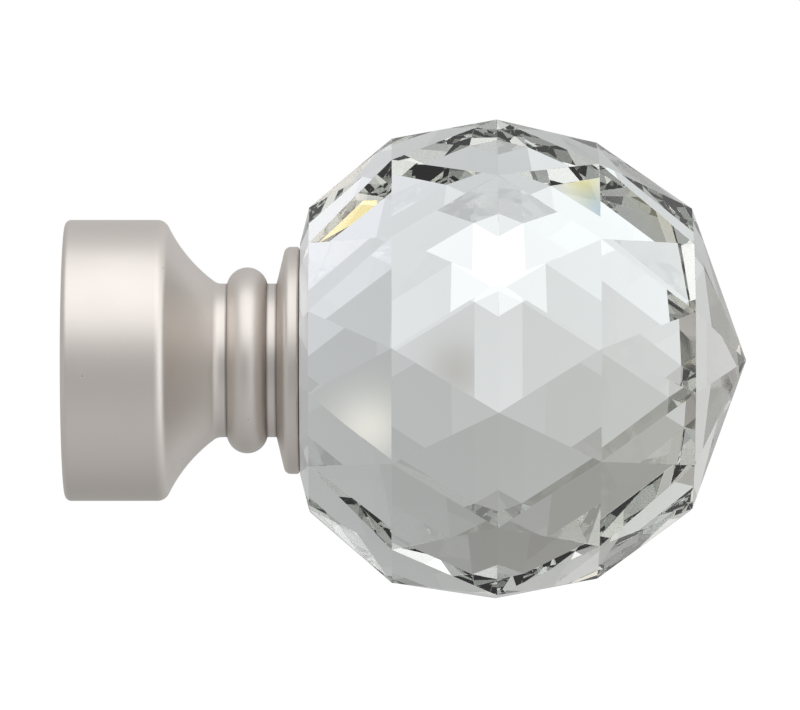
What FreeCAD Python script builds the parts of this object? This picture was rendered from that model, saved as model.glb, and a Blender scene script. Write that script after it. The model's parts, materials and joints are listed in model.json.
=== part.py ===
import FreeCAD, Part
import math
import os

# A curtain pole finial: a turned metal base slips over the pole's end and carries a faceted crystal ball.
# Millimetres and degrees. The pole's axis is X: the socket's mouth is at X 0 and the crystal points to +X.
# +Z is up, and +Y is the side that faces the wall.

# Pole and socket
pole_diameter = 25.0
pole_clearance = 0.2
socket_depth = 9.0

# Cap over the pole, and the cove that narrows it to the neck
cap_wall = 1.65
cap_length = 10.25
mouth_round = 0.65
shoulder_round = 1.3
cove_length = 5.3
cove_radius = 15.4
cove_foot_round = 1.2

# Neck with its bead
neck_diameter = 15.7
rear_neck_length = 1.0
front_neck_length = 0.95
bead_diameter = 19.0
bead_round = 2.1

# Flange that the crystal is bonded to, with a conical back
flange_diameter = 23.2
flange_thickness = 2.35
flange_cone_depth = 0.9
flange_back_round = 0.7
flange_front_round = 0.3

# Crystal ball: rings of corners at set distances from its equator, with a cut of its own on each half
facet_count = 12
facet_turn = 17.4
equator_diameter = 50.0
tip_middle_offset = 10.3
tip_middle_diameter = 44.6
tip_end_offset = 19.9
tip_end_diameter = 31.6
tip_offset = 25.55
seat_middle_offset = 10.65
seat_middle_diameter = 45.45
seat_end_offset = 19.05
seat_end_diameter = 31.8
seat_offset = 20.05
seat_margin = 0.5

# Grub screw through the cap's wall, on the side that faces the wall
grub_diameter = 3.0
grub_station = 4.5
grub_clearance = 0.05
grub_back_off = 0.05
grub_stand_out = 0.1
grub_chamfer = 0.25
key_across_flats = 1.5
key_depth = 1.0

# Sizes worked out from the ones above
socket_radius = pole_diameter / 2 + pole_clearance
cap_radius = socket_radius + cap_wall
neck_radius = neck_diameter / 2
flange_radius = flange_diameter / 2
bead_centre_radius = bead_diameter / 2 - bead_round
bead_half_width = math.sqrt(bead_round ** 2 - (neck_radius - bead_centre_radius) ** 2)
neck_start = cap_length + cove_length
bead_start = neck_start + rear_neck_length
bead_end = bead_start + 2 * bead_half_width
flange_rear = bead_end + front_neck_length
flange_rim = flange_rear + flange_cone_depth
flange_front = flange_rear + flange_thickness
crystal_centre = flange_front + seat_offset

along_pole = FreeCAD.Vector(1, 0, 0)
to_wall = FreeCAD.Vector(0, 1, 0)


def at(station, radius):
    """A point of the turned profile: its place along the pole's axis and its distance from it."""
    return FreeCAD.Vector(station, 0, radius)


def hollow_arc(start, end, radius):
    """An arc of the given radius between two points, bowed towards the axis."""
    chord = end - start
    sagitta = radius - math.sqrt(radius ** 2 - (chord.Length / 2) ** 2)
    inward = FreeCAD.Vector(chord.z, 0, -chord.x).normalize()
    return Part.Arc(start, (start + end) / 2 + inward * sagitta, end).toShape()


def rims_at(solid, station, radius):
    """The circular edges of a turned solid at one place of its profile."""
    near = 0.01
    return [edge for edge in solid.Edges
            if isinstance(edge.Curve, Part.Circle)
            and abs(edge.Curve.Center.x - station) < near
            and abs(edge.Curve.Radius - radius) < near]


def metal_base():
    """The base, turned in one piece: cap, cove, neck, bead and flange, bored for the pole and the screw."""
    shoulder = at(cap_length, cap_radius)
    cove_foot = at(neck_start, neck_radius)
    bead_foot = at(bead_start, neck_radius)
    bead_crest = at(bead_start + bead_half_width, bead_diameter / 2)
    bead_far_foot = at(bead_end, neck_radius)
    profile = Part.Wire([
        *Part.makePolygon([at(socket_depth, 0), at(socket_depth, socket_radius), at(0, socket_radius),
                           at(0, cap_radius), shoulder]).Edges,
        hollow_arc(shoulder, cove_foot, cove_radius),
        Part.makeLine(cove_foot, bead_foot),
        Part.Arc(bead_foot, bead_crest, bead_far_foot).toShape(),
        *Part.makePolygon([bead_far_foot, at(flange_rear, neck_radius),
                           at(flange_rim, flange_radius), at(flange_front, flange_radius),
                           at(flange_front, 0), at(socket_depth, 0)]).Edges,
    ])
    base = Part.Face(profile).revolve(FreeCAD.Vector(), along_pole, 360)
    base = base.makeFillet(mouth_round, rims_at(base, 0, cap_radius))
    base = base.makeFillet(shoulder_round, rims_at(base, cap_length, cap_radius))
    base = base.makeFillet(cove_foot_round, rims_at(base, neck_start, neck_radius))
    base = base.makeFillet(flange_back_round, rims_at(base, flange_rim, flange_radius))
    base = base.makeFillet(flange_front_round, rims_at(base, flange_front, flange_radius))
    screw_hole = Part.makeCylinder(grub_diameter / 2 + grub_clearance, cap_radius,
                                   FreeCAD.Vector(grub_station, 0, 0), to_wall)
    return base.cut(screw_hole)


def corner_ring(offset, diameter, turn):
    """Evenly spaced corners of the crystal, starting at a turn up from the side away from the wall."""
    corners = []
    for index in range(facet_count):
        angle = math.radians(turn + index * 360 / facet_count)
        across = FreeCAD.Vector(0, -math.cos(angle), math.sin(angle)) * (diameter / 2)
        corners.append(along_pole * (crystal_centre + offset) + across)
    return corners


def facet(*corners):
    """One flat facet through its corners."""
    return Part.Face(Part.makePolygon([*corners, corners[0]]))


def facets_between(straight, staggered):
    """Triangles that join a ring of corners to the next ring, which is turned on by half a step."""
    facets = []
    for index in range(facet_count):
        following = (index + 1) % facet_count
        facets.append(facet(straight[index], straight[following], staggered[index]))
        facets.append(facet(straight[following], staggered[following], staggered[index]))
    return facets


def crystal_ball():
    """The crystal: a ball of flat facets, pointed at its tip and flat where it is bonded to the flange."""
    half_step = 180 / facet_count
    equator = corner_ring(0, equator_diameter, facet_turn)
    tip_middle = corner_ring(tip_middle_offset, tip_middle_diameter, facet_turn + half_step)
    tip_end = corner_ring(tip_end_offset, tip_end_diameter, facet_turn)
    tip = along_pole * (crystal_centre + tip_offset)
    seat_middle = corner_ring(-seat_middle_offset, seat_middle_diameter, facet_turn + half_step)
    seat_end = corner_ring(-seat_end_offset, seat_end_diameter, facet_turn)
    seat = corner_ring(-seat_offset, flange_diameter + 2 * seat_margin, facet_turn)
    facets = [facet(*seat)]
    for straight, staggered in ((equator, tip_middle), (tip_end, tip_middle),
                                (equator, seat_middle), (seat_end, seat_middle)):
        facets += facets_between(straight, staggered)
    for index in range(facet_count):
        facets.append(facet(tip_end[index - 1], tip_end[index], tip))
        facets.append(facet(seat_end[index - 1], seat_end[index], seat[index], seat[index - 1]))
    return Part.Solid(Part.Shell(facets))


def grub_screw():
    """The screw that grips the pole, with a hexagon socket for its key."""
    tip = FreeCAD.Vector(grub_station, pole_diameter / 2 + grub_back_off, 0)
    head = FreeCAD.Vector(grub_station, cap_radius + grub_stand_out, 0)
    screw = Part.makeCylinder(grub_diameter / 2, head.y - tip.y, tip, to_wall)
    ends = [edge for edge in screw.Edges if isinstance(edge.Curve, Part.Circle)]
    screw = screw.makeChamfer(grub_chamfer, ends)
    corner_distance = key_across_flats / math.sqrt(3)
    corners = []
    for index in range(6):
        angle = math.radians(index * 60)
        corners.append(head + FreeCAD.Vector(math.cos(angle), 0, math.sin(angle)) * corner_distance)
    return screw.cut(facet(*corners).extrude(to_wall * -key_depth))


os.makedirs("parts", exist_ok=True)
for make_part in (metal_base, crystal_ball, grub_screw):
    shape = make_part()
    shape.exportStep(f"parts/{make_part.__name__}.step")
    print(make_part.__name__, len(shape.Faces), "faces", round(shape.Volume, 1), "mm3", shape.isValid())
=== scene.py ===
# %% [markdown]
# A finial closes the end of a curtain pole. This one is a satin nickel base that slips over the
# pole and carries a ball of clear cut crystal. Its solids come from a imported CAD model, which
# stays as it is: this lesson gives them their finishes, lights them and photographs them. The
# pole's axis is X, with the socket's mouth at 0 and the crystal's tip at the far end.

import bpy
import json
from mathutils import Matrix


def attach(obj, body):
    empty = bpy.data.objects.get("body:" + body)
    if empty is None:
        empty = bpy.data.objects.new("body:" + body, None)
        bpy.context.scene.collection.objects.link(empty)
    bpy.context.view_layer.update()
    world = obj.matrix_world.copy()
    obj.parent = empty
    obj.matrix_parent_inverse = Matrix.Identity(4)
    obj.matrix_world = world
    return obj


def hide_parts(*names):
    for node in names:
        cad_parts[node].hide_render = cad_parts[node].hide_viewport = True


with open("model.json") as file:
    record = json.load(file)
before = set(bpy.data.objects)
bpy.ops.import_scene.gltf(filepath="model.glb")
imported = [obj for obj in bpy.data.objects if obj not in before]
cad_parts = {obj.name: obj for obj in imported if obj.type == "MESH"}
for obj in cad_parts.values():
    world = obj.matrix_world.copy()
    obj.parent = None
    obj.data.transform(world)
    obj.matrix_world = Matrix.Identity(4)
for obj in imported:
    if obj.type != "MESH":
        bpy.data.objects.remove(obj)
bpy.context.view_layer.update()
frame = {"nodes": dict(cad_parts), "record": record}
print("nodes to finish:", sorted(frame["nodes"]))

# %% [markdown]
# Blender measures in metres here, and this part is a few centimetres long. Sizes are easier to
# read in millimetres, so each is written as a number times MM. The Standard view shows a colour
# as it is written. Blender's usual view is softer, but it would turn the white studio grey.

# %% Units and colours
import json
import math

import bmesh
import bpy
from mathutils import Vector

MM = 0.001


scene = bpy.context.scene
scene.view_settings.view_transform = "Standard"

# %% [markdown]
# A finish is a small graph of nodes. It could be clicked together in the shader editor. Written
# as code it can be read in order, so these helpers start a graph with one Principled shader and
# add nodes to it, and each finish below is a short list of what feeds what.

# %% Start a finish and add to it
def new_finish(name):
    """A material with one Principled shader: returns it, its node tree and the shader."""
    material = bpy.data.materials.new(name)
    material.use_nodes = True
    tree = material.node_tree
    return material, tree, tree.nodes["Principled BSDF"]


def add_node(tree, kind, inputs=None, **settings):
    """Adds a node, sets its properties, and sets or links its inputs by name or number."""
    node = tree.nodes.new(kind)
    for key, value in settings.items():
        setattr(node, key, value)
    for key, value in (inputs or {}).items():
        if isinstance(value, bpy.types.NodeSocket):
            tree.links.new(value, node.inputs[key])
        else:
            node.inputs[key].default_value = value
    return node


# %% Sums, ranges, colours and noise
# The Mix node has sockets of the same name for numbers and for colours: these are for colours.
MIX_FACTOR, MIX_FIRST, MIX_SECOND, MIX_RESULT = 0, 6, 7, 2
NOISE_DETAIL = 2.0


def maths(tree, operation, first, second=0.0):
    """The result of one sum on two numbers or sockets."""
    return add_node(tree, "ShaderNodeMath", {0: first, 1: second}, operation=operation).outputs[0]


def spread(tree, value, low, high, from_low=0.0, from_high=1.0):
    """A value moved from one range to another."""
    inputs = {"Value": value, "From Min": from_low, "From Max": from_high,
              "To Min": low, "To Max": high}
    return add_node(tree, "ShaderNodeMapRange", inputs).outputs[0]


def blend(tree, factor, first, second):
    """A colour between two colours."""
    inputs = {MIX_FACTOR: factor, MIX_FIRST: first, MIX_SECOND: second}
    return add_node(tree, "ShaderNodeMix", inputs, data_type="RGBA").outputs[MIX_RESULT]


def speckle(tree, place, size):
    """Soft random noise whose patches are about the given size across."""
    inputs = {"Vector": place, "Scale": 1 / size, "Detail": NOISE_DETAIL}
    return add_node(tree, "ShaderNodeTexNoise", inputs).outputs[0]


# %% [markdown]
# The base is turned on a lathe in one piece. A photograph of metal could be wrapped round it, but
# that shows a seam and blurs close up. A pattern worked out from a point's place has neither
# fault. On a turned part what matters is how far the point is along the axis and how far from it,
# so one helper gives both. Another one picks out the pole's socket, whose size is in the CAD
# record. A little slack makes sure that the socket's own walls count as inside.

# %% Places on a turned part
socket = frame["record"]["mounts"][0]["dims"]
SOCKET_SLACK = 0.05 * MM
SOCKET_RADIUS = socket["r_mm"] * MM + SOCKET_SLACK
SOCKET_DEPTH = socket["length_mm"] * MM + SOCKET_SLACK


def own_place(tree):
    """A point's place in the part's own frame."""
    return add_node(tree, "ShaderNodeTexCoord").outputs["Object"]


def turned_place(tree):
    """A point's place, its distance along the axis and its distance from it."""
    place = own_place(tree)
    along, across, up = add_node(tree, "ShaderNodeSeparateXYZ", {0: place}).outputs
    squares = maths(tree, "ADD", maths(tree, "MULTIPLY", across, across),
                    maths(tree, "MULTIPLY", up, up))
    return place, along, maths(tree, "SQRT", squares)


def in_socket(tree, along, from_axis):
    """1 inside the pole's socket and 0 outside it."""
    return maths(tree, "MULTIPLY", maths(tree, "LESS_THAN", from_axis, SOCKET_RADIUS),
                 maths(tree, "LESS_THAN", along, SOCKET_DEPTH))


print("socket, mm:", socket["r_mm"], "radius,", socket["length_mm"], "deep")

# %% [markdown]
# Small marks tell satin plate from grey paint. The lathe leaves faint rings and the cast blank
# leaves a few pits. A dark line of painted shade lies in the corners beside the bead and the
# flange, where shadow falls. Each mark is a number from 0 to 1 over the surface, so that
# colour, gloss and relief can all use it.

# %% Marks on the metal
RING_PITCH = 0.22 * MM
PIT_SPACING = 2.6 * MM
PIT_FLOOR, PIT_RIM = 0.02, 0.05  # from a pit's middle, as parts of the spacing
# Where a dark line of painted shade goes: the corners beside the bead and the flange.
CORNERS = (16.55 * MM, 20.65 * MM, 21.6 * MM)
CORNER_WIDTH = 0.22 * MM
LEAST_CORNER_SHADE = 0.5


def lathe_rings(tree, along, from_axis):
    """Noise that runs round the part in rings, on its sides and on its flat ends."""
    ring_place = maths(tree, "ADD", along, from_axis)
    inputs = {"W": ring_place, "Scale": 1 / RING_PITCH, "Detail": NOISE_DETAIL}
    return add_node(tree, "ShaderNodeTexNoise", inputs, noise_dimensions="1D").outputs[0]


def casting_pits(tree, place):
    """1 in a few scattered pits."""
    cells = add_node(tree, "ShaderNodeTexVoronoi", {"Vector": place, "Scale": 1 / PIT_SPACING})
    return spread(tree, cells.outputs["Distance"], 1.0, 0.0, PIT_FLOOR, PIT_RIM)


def corner_painted_shade(tree, along, cloud):
    """Painted shade, up to 1 in the corners beside the bead and the flange, uneven round them."""
    painted_shade = 0.0
    for station in CORNERS:
        away = maths(tree, "ABSOLUTE", maths(tree, "SUBTRACT", along, station))
        painted_shade = maths(tree, "MAXIMUM", painted_shade, spread(tree, away, 1.0, 0.0, 0.0, CORNER_WIDTH))
    return maths(tree, "MULTIPLY", painted_shade, spread(tree, cloud, LEAST_CORNER_SHADE, 1.0))


print("corners with grime, mm along the axis:", [round(station / MM, 2) for station in CORNERS])

# %% [markdown]
# Satin nickel is a warm grey that is matt but still metallic. A painter would mix grey with a
# little gloss. Blender's Principled shader does it as metal does: Metallic is 1, the colour tints
# the reflections, and a fine grain in Roughness blurs them. Slow clouds show where the plating is
# thicker. The socket isn't plated, so the same metal is darker and duller there, and its rings are
# deeper. The relief is far too fine for the mesh, so it only bends the shading.

# %% Satin nickel
GRAIN_SIZE = 0.16 * MM
CLOUD_SIZE = 6 * MM
PLATE_LIGHT, PLATE_DARK = (0.78, 0.735, 0.695, 1), (0.74, 0.695, 0.655, 1)
BARE_LIGHT, BARE_DARK = (0.46, 0.44, 0.42, 1), (0.34, 0.32, 0.30, 1)
# Painted shade for the corners beside the bead and the flange.
CORNER_SHADE_COLOUR = (0.22, 0.19, 0.17, 1)
PIT_COLOUR = (0.50, 0.46, 0.43, 1)
GRAIN_ROUGHNESS = (0.40, 0.50)
CLOUD_ROUGHNESS = (-0.03, 0.03)
BARE_ROUGHNESS = 0.14  # added to the plate's inside the socket
GRAIN_HEIGHT = 0.003 * MM
RING_HEIGHT = (0.25, 2.5)  # in grains, outside the socket and inside it
PIT_DEPTH = 6.0  # in grains


def satin_nickel():
    """Warm satin plate outside, dull turned metal inside the socket."""
    material, tree, shader = new_finish("satin_nickel")
    place, along, from_axis = turned_place(tree)
    inside = in_socket(tree, along, from_axis)
    grain = speckle(tree, place, GRAIN_SIZE)
    cloud = speckle(tree, place, CLOUD_SIZE)
    rings = lathe_rings(tree, along, from_axis)
    pits = casting_pits(tree, place)

    plated = blend(tree, cloud, PLATE_LIGHT, PLATE_DARK)
    bare = blend(tree, rings, BARE_LIGHT, BARE_DARK)
    colour = blend(tree, inside, plated, bare)
    # Darker in the corners beside the bead and the flange: painted shade.
    colour = blend(tree, corner_painted_shade(tree, along, cloud), colour, CORNER_SHADE_COLOUR)
    tree.links.new(blend(tree, pits, colour, PIT_COLOUR), shader.inputs["Base Color"])
    shader.inputs["Metallic"].default_value = 1.0

    matt = maths(tree, "ADD", spread(tree, grain, *GRAIN_ROUGHNESS),
                 spread(tree, cloud, *CLOUD_ROUGHNESS))
    dull = maths(tree, "MULTIPLY", inside, BARE_ROUGHNESS)
    tree.links.new(maths(tree, "ADD", matt, dull), shader.inputs["Roughness"])

    ridges = maths(tree, "MULTIPLY", rings, spread(tree, inside, *RING_HEIGHT))
    hollows = maths(tree, "MULTIPLY", pits, PIT_DEPTH)
    height = maths(tree, "SUBTRACT", maths(tree, "ADD", grain, ridges), hollows)
    relief = {"Height": height, "Strength": 1.0, "Distance": GRAIN_HEIGHT}
    bump = add_node(tree, "ShaderNodeBump", relief)
    tree.links.new(bump.outputs[0], shader.inputs["Normal"])
    return material


# %% Dress the base
def dress(name, finish):
    """Gives a CAD node a finish in place of the one that it was packed with."""
    mesh = frame["nodes"][name].data
    mesh.materials.clear()
    mesh.materials.append(finish)
    print(name + ":", len(mesh.polygons), "faces in", finish.name)


dress("metal_base", satin_nickel())

# %% [markdown]
# The crystal is one solid of flat facets, but its CAD mesh holds each facet as triangles. Smoothing
# it would lose the cut, so the triangles are merged back to whole facets. Every edge then gets a
# very thin bevel: a polished edge is never quite sharp, and that thin strip of another slope is
# what glints. The seat is drawn back by a bond line of glue. Glass and metal in the very same plane
# would trap the light between them.

# %% Crystal facets
SAME_POINT = 0.001 * MM
FLAT_ENOUGH = math.radians(0.5)
EDGE_WIDTH = 0.015 * MM
BOND_LINE = 0.06 * MM
FACET_SLOT, SEAT_SLOT = 0, 1


def faceted_ball(node):
    """A mesh of whole flat facets with fine polished edges: the seat has a material of its own."""
    mesh = bpy.data.meshes.new("crystal_facets")
    shape = bmesh.new()
    shape.from_mesh(node.data)
    bmesh.ops.remove_doubles(shape, verts=shape.verts, dist=SAME_POINT)
    bmesh.ops.dissolve_limit(shape, angle_limit=FLAT_ENOUGH, verts=shape.verts, edges=shape.edges)
    print("crystal:", len(shape.faces), "facets")
    seat = min(corner.co.x for corner in shape.verts)
    for corner in shape.verts:
        if corner.co.x < seat + EDGE_WIDTH:
            corner.co.x += BOND_LINE
    bmesh.ops.bevel(shape, geom=shape.edges, offset=EDGE_WIDTH, segments=1, affect="EDGES",
                    profile=0.5)
    for face in shape.faces:
        face.smooth = False
        on_seat = face.calc_center_median().x < seat + BOND_LINE + EDGE_WIDTH / 2
        face.material_index = SEAT_SLOT if on_seat else FACET_SLOT
    shape.to_mesh(mesh)
    shape.free()
    return mesh


crystal = bpy.data.objects.new("cut_crystal", faceted_ball(frame["nodes"]["crystal_ball"]))
scene.collection.objects.link(crystal)
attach(crystal, "root")
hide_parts("crystal_ball")
print("with its polished edges:", len(crystal.data.polygons), "faces")

# %% [markdown]
# Crystal is clear glass, so its surface has no colour of its own. A Glass shader would do for a
# thin sheet. A solid ball also needs a body: light that bounces about between the facets goes a
# long way through the glass and comes out a little darker and greyer, which draws the dark slivers
# near the ball's outline. That is an absorption in the volume, and the surface is left perfectly
# smooth.

# %% Cut glass
GLASS_COLOUR = (0.99, 0.99, 0.99, 1)
GLASS_IOR = 1.49
BODY_COLOUR = (0.85, 0.857, 0.840, 1)
BODY_DENSITY = 24.0


def cut_glass():
    """Clear polished crystal with a faint grey body."""
    material, tree, shader = new_finish("cut_glass")
    shader.inputs["Base Color"].default_value = GLASS_COLOUR
    shader.inputs["Transmission Weight"].default_value = 1.0
    shader.inputs["Roughness"].default_value = 0.0
    shader.inputs["IOR"].default_value = GLASS_IOR
    inputs = {"Color": BODY_COLOUR, "Density": BODY_DENSITY}
    body = add_node(tree, "ShaderNodeVolumeAbsorption", inputs)
    tree.links.new(body.outputs[0], tree.nodes["Material Output"].inputs["Volume"])
    return material


crystal.data.materials.append(cut_glass())
print("finish of the facets:", crystal.data.materials[FACET_SLOT].name)

# %% [markdown]
# The flat of the crystal is silvered like a mirror before it is bonded to the flange, and the
# facets repeat it as seen from the tip. A plain glass face would let a dark gap show instead. So
# this one face is a bright metal with little roughness, and slow patches in its colour where the
# silver is thinner.

# %% Silvered seat
SILVER_PATCH = 3 * MM
SILVER, THIN_SILVER = (0.99, 0.95, 0.91, 1), (0.88, 0.84, 0.80, 1)
SILVER_ROUGHNESS = 0.05


def silvered_seat():
    """The crystal's flat, silvered where it is bonded to the flange."""
    material, tree, shader = new_finish("silvered_seat")
    patches = speckle(tree, own_place(tree), SILVER_PATCH)
    tree.links.new(blend(tree, patches, SILVER, THIN_SILVER), shader.inputs["Base Color"])
    shader.inputs["Metallic"].default_value = 1.0
    shader.inputs["Roughness"].default_value = SILVER_ROUGHNESS
    return material


crystal.data.materials.append(silvered_seat())
seat_faces = [face for face in crystal.data.polygons if face.material_index == SEAT_SLOT]
print("faces of the seat:", len(seat_faces))

# %% [markdown]
# A small screw in the cap's wall grips the pole. It faces the wall behind the curtain, so it isn't
# plated: plain machined steel, greyer and darker than the nickel, with a fine grain that changes
# both its colour and its gloss.

# %% Grub screw steel
STEEL_GRAIN = 0.12 * MM
STEEL_LIGHT, STEEL_DARK = (0.42, 0.42, 0.43, 1), (0.30, 0.30, 0.31, 1)
STEEL_ROUGHNESS = (0.3, 0.5)


def screw_steel():
    """Plain machined steel."""
    material, tree, shader = new_finish("screw_steel")
    grain = speckle(tree, own_place(tree), STEEL_GRAIN)
    tree.links.new(blend(tree, grain, STEEL_LIGHT, STEEL_DARK), shader.inputs["Base Color"])
    shader.inputs["Metallic"].default_value = 1.0
    tree.links.new(spread(tree, grain, *STEEL_ROUGHNESS), shader.inputs["Roughness"])
    return material


dress("grub_screw", screw_steel())

# %% [markdown]
# Glass and metal show what stands round them, so the studio is half of the finish. It could be
# built from cards and lamps. Here it is painted on the world instead, far away, where nothing can
# get in the camera's way: a plain level, and glows round chosen directions. A glow below zero is a
# grey card that takes light away.

# %% Glows round a direction
DARKEST = (0.03, 0.03, 0.03)


def vector_maths(tree, operation, inputs):
    """The outputs of one sum on directions or colours."""
    return add_node(tree, "ShaderNodeVectorMath", inputs, operation=operation).outputs


def surround(tree, direction, level, glows):
    """The studio's colour in a direction: a plain level with the glows added."""
    total = level
    for azimuth, elevation, narrowness, colour in glows.values():
        turn, rise = math.radians(azimuth), math.radians(elevation)
        towards = (math.sin(turn) * math.cos(rise), math.cos(turn) * math.cos(rise), math.sin(rise))
        facing = vector_maths(tree, "DOT_PRODUCT", {0: direction, 1: towards})["Value"]
        away = maths(tree, "SUBTRACT", facing, 1.0)
        glow = maths(tree, "EXPONENT", maths(tree, "MULTIPLY", away, narrowness))
        light = vector_maths(tree, "SCALE", {0: colour, "Scale": glow})[0]
        total = vector_maths(tree, "ADD", {0: total, 1: light})[0]
    return vector_maths(tree, "MAXIMUM", {0: total, 1: DARKEST})[0]


# %% [markdown]
# A facet bends the view to one narrow direction, so each facet of the crystal is one flat tone of
# the studio. The sweep of paper is lit low behind the part, and that makes the bright star in the
# ball's upper half. Cards and panels at the sides set the other facets apart. Real cut glass also
# splits light into colours. Cycles doesn't, so a few very narrow coloured glows stand for the
# rainbows that a prism would throw. The last seven glows, on the camera's side and past the tip,
# are for someone who looks at the ball from behind or from its end.

# %% What the crystal shows
# Each glow: azimuth from straight behind towards the tip's side, elevation, narrowness, colour.
SWEEP_LEVEL = (0.637, 0.654, 0.671)
SWEEP = {
    "paper lit low behind": (1.4, -11.8, 34.3, (0.70, 0.72, 0.74)),
    "paper low right": (39.5, -27.4, 17.6, (0.58, 0.59, 0.66)),
    "paper low left": (-26.2, -27.5, 20, (0.68, 0.73, 0.76)),
    "paper below": (60, -78.9, 30, (1.41, 1.40, 1.42)),
    "warm lamp low right": (65, -37.3, 60, (1.71, 1.52, 1.23)),
    "pale wall left": (-55.8, 29.1, 6, (0.99, 1.00, 1.00)),
    "grey card left": (-38.7, 30.5, 20, (-1.18, -1.22, -1.26)),
    "panel left": (-35, 30.7, 120, (1.25, 1.32, 1.37)),
    "window left": (-115.1, 40, 13.2, (1.25, 1.23, 1.24)),
    "panel right": (76, 49.7, 90, (1.20, 1.20, 1.22)),
    "grey ceiling": (0.7, 35, 24, (-0.23, -0.24, -0.25)),
    "dim room at the camera": (-116.2, 20.7, 0.8, (-0.45, -0.47, -0.51)),
    "prism yellow, low left": (-32.80, -35.90, 160000, (0.22, 0.06, -0.50)),
    "prism blue, low left": (-32.73, -36.08, 200000, (-0.45, -0.31, -0.08)),
    "prism yellow, high left": (-52.7, 25.9, 2500, (1.0, 0.75, 0.1)),
    "prism yellow, further left": (-62.7, 24.4, 2500, (1.0, 0.75, 0.1)),
    "prism olive, low left": (-54.5, -37.8, 3000, (0.0, -0.09, -0.50)),
    "soft shade behind": (7.97, 0.55, 140000, (-0.17, -0.20, -0.22)),
    "soft gleam right": (23.82, 7.22, 120000, (0.38, 0.36, 0.30)),
    "window over the camera": (150, 32, 16, (0.60, 0.60, 0.62)),
    "panel right of the camera": (122, -20, 30, (0.50, 0.51, 0.52)),
    "dark corner right": (138, 2, 22, (-0.36, -0.37, -0.38)),
    "paper under the camera": (168, -42, 18, (0.55, 0.55, 0.56)),
    "panel left of the camera": (-150, -14, 20, (0.50, 0.50, 0.50)),
    "window past the tip": (97, 24, 20, (0.55, 0.55, 0.56)),
    "dark card past the tip": (90, -8, 26, (-0.38, -0.38, -0.38)),
}
print("glows through the crystal:", len(SWEEP))

# %% [markdown]
# Satin metal blurs what it shows, so a few broad areas are enough for it. A plain even room would
# make the turned shapes look flat. A window to the right of the camera brings out the cove and the
# rounded shoulder, and the dark round the camera and under the sweep shade the middle and the
# underside of the cap.

# %% What the metal shows
ROOM_LEVEL = (0.57, 0.57, 0.57)
ROOM = {
    "window right of the camera": (104, 4, 4, (1.3, 1.3, 1.3)),
    "dark round the camera": (180, -8, 9, (-0.30, -0.30, -0.30)),
    "dark below the sweep": (0, -52, 5, (-0.17, -0.17, -0.17)),
}
print("glows in the metal:", len(ROOM))

# %% [markdown]
# One world serves all of this, because a ray knows where it came from. A ray straight from the
# camera finds plain white. One that left the metal finds the room, one that came through the
# crystal finds the sweep, and the light that falls on matt things is a plain grey level.

# %% World
FILL_LEVEL = (0.6, 0.6, 0.6, 1)
WHITE = (1, 1, 1, 1)

world = bpy.data.worlds.new("pale_studio")
scene.world = world
world.use_nodes = True
tree = world.node_tree
direction = add_node(tree, "ShaderNodeTexCoord").outputs["Generated"]
path = add_node(tree, "ShaderNodeLightPath").outputs
room = surround(tree, direction, ROOM_LEVEL, ROOM)
sweep = surround(tree, direction, SWEEP_LEVEL, SWEEP)
seen = blend(tree, path["Is Glossy Ray"], FILL_LEVEL, room)
seen = blend(tree, path["Is Transmission Ray"], seen, sweep)
seen = blend(tree, path["Is Camera Ray"], seen, WHITE)
tree.links.new(seen, tree.nodes["Background"].inputs["Color"])
print("world nodes:", len(tree.nodes))

# %% [markdown]
# The photograph has a white ground with no edge. A large matt floor some way under the part gives
# that, and keeps its soft shadow. More light would make it white too, but would also burn out the
# metal, so the floor adds a little light of its own that only the camera sees. Metal and glass
# look past it to the studio on the world.

# %% Floor
FLOOR_DROP = 60 * MM
FLOOR_SIZE = 6000 * MM
FLOOR_COLOUR = (0.8, 0.8, 0.8, 1)
FLOOR_LIFT = 0.56


def pale_floor():
    """A pale matt floor, lifted to white for the camera alone."""
    material, tree, shader = new_finish("pale_floor")
    path = add_node(tree, "ShaderNodeLightPath").outputs
    lift = maths(tree, "MULTIPLY", path["Is Camera Ray"], FLOOR_LIFT)
    shader.inputs["Base Color"].default_value = FLOOR_COLOUR
    shader.inputs["Roughness"].default_value = 1.0
    shader.inputs["Specular IOR Level"].default_value = 0.0
    shader.inputs["Emission Color"].default_value = WHITE
    tree.links.new(lift, shader.inputs["Emission Strength"])
    return material


half = FLOOR_SIZE / 2
floor_corners = [(-half, -half, 0), (half, -half, 0), (half, half, 0), (-half, half, 0)]
floor_mesh = bpy.data.meshes.new("floor")
floor_mesh.from_pydata(floor_corners, [], [(0, 1, 2, 3)])
floor_mesh.materials.append(pale_floor())
floor = bpy.data.objects.new("floor", floor_mesh)
floor.location.z = -FLOOR_DROP
floor.visible_glossy = False
floor.visible_transmission = False
scene.collection.objects.link(floor)
print("floor, mm under the pole's axis:", round(FLOOR_DROP / MM))

# %% [markdown]
# The broad highlight along the cap comes from one soft box above and in front. A small lamp would
# make a thin hard line on it, and a sun a hard shadow, so the lamp is a large rectangle, close
# enough to wrap round the turned shapes. It is weak: the metal's lightest band stays just under
# white.

# %% Soft box
BOX_PLACE = Vector((35, -480, 770)) * MM
BOX_AIM = Vector((35, 0, 0)) * MM
BOX_SIDES = (1200 * MM, 1400 * MM)
BOX_WATTS = 4.2


def pointing(place, aim):
    """How a lamp or a camera at a place is turned to point at its aim."""
    return (aim - place).to_track_quat("-Z", "Y").to_euler()


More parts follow.
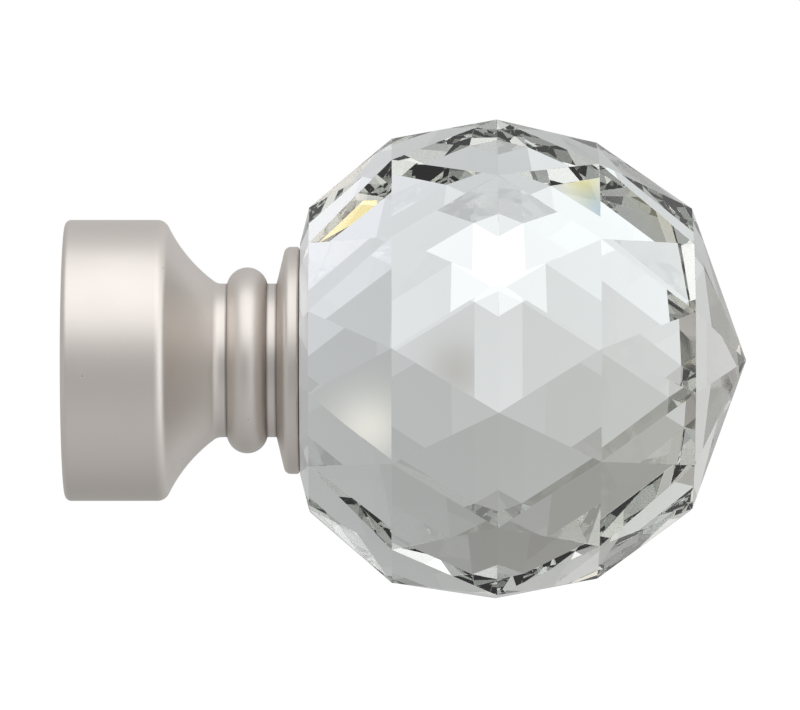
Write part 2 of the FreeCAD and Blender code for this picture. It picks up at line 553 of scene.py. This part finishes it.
lamp = bpy.data.lights.new("top_softbox", "AREA")
lamp.shape = "RECTANGLE"
lamp.size, lamp.size_y = BOX_SIDES
lamp.energy = BOX_WATTS
soft_box = bpy.data.objects.new("top_softbox", lamp)
soft_box.location = BOX_PLACE
soft_box.rotation_euler = pointing(BOX_PLACE, BOX_AIM)
soft_box.visible_camera = False
scene.collection.objects.link(soft_box)
print("soft box, watts:", BOX_WATTS)

# %% [markdown]
# Light in the ball is reflected from facet to facet before it finds a way out. Blender stops it
# after four reflections by default, which leaves black holes. A limit of 12 lets nearly all of it
# out, and the rest stays dark, as the deepest slivers in real cut glass do.

# %% Bounces
BOUNCES = 12

scene.cycles.max_bounces = BOUNCES
scene.cycles.transmission_bounces = BOUNCES
scene.cycles.glossy_bounces = BOUNCES
print("bounces:", BOUNCES)

# %% [markdown]
# The photograph is taken from the side and almost level with the pole's axis: the cap's ends look
# nearly straight. The camera could be moved about by eye until the outline fits. It is quicker to
# measure the scale and two places in the photograph, put the camera in front of the picture's
# middle, and work out the lens from the distance.

# %% Camera
IMAGE_WIDTH, IMAGE_HEIGHT = 800, 710
PIXELS_PER_MM = 9.791
MOUTH_PIXEL = 65.2
AXIS_PIXEL = 360.4
CAMERA_DISTANCE = 850 * MM
CAMERA_RISE = math.radians(-0.6)
SENSOR_WIDTH = 36.0
NEAREST_SEEN = 10 * MM


def at_pixel(x, y):
    """The point in the plane of the pole's axis that the photograph shows at a pixel."""
    return Vector((x - MOUTH_PIXEL, 0, AXIS_PIXEL - y)) * MM / PIXELS_PER_MM


to_camera = Vector((0, -math.cos(CAMERA_RISE), math.sin(CAMERA_RISE)))
eye = at_pixel(IMAGE_WIDTH / 2, AXIS_PIXEL) + to_camera * CAMERA_DISTANCE
aim = at_pixel(IMAGE_WIDTH / 2, IMAGE_HEIGHT / 2)
seen_width = IMAGE_WIDTH / PIXELS_PER_MM * MM
camera_data = bpy.data.cameras.new("camera")
camera_data.sensor_width = SENSOR_WIDTH
camera_data.lens = SENSOR_WIDTH * (aim - eye).length / seen_width
camera_data.clip_start = NEAREST_SEEN
camera = bpy.data.objects.new("camera", camera_data)
camera.location = eye
camera.rotation_euler = pointing(eye, aim)
scene.collection.objects.link(camera)
scene.camera = camera
print("lens, mm:", round(camera_data.lens, 1))
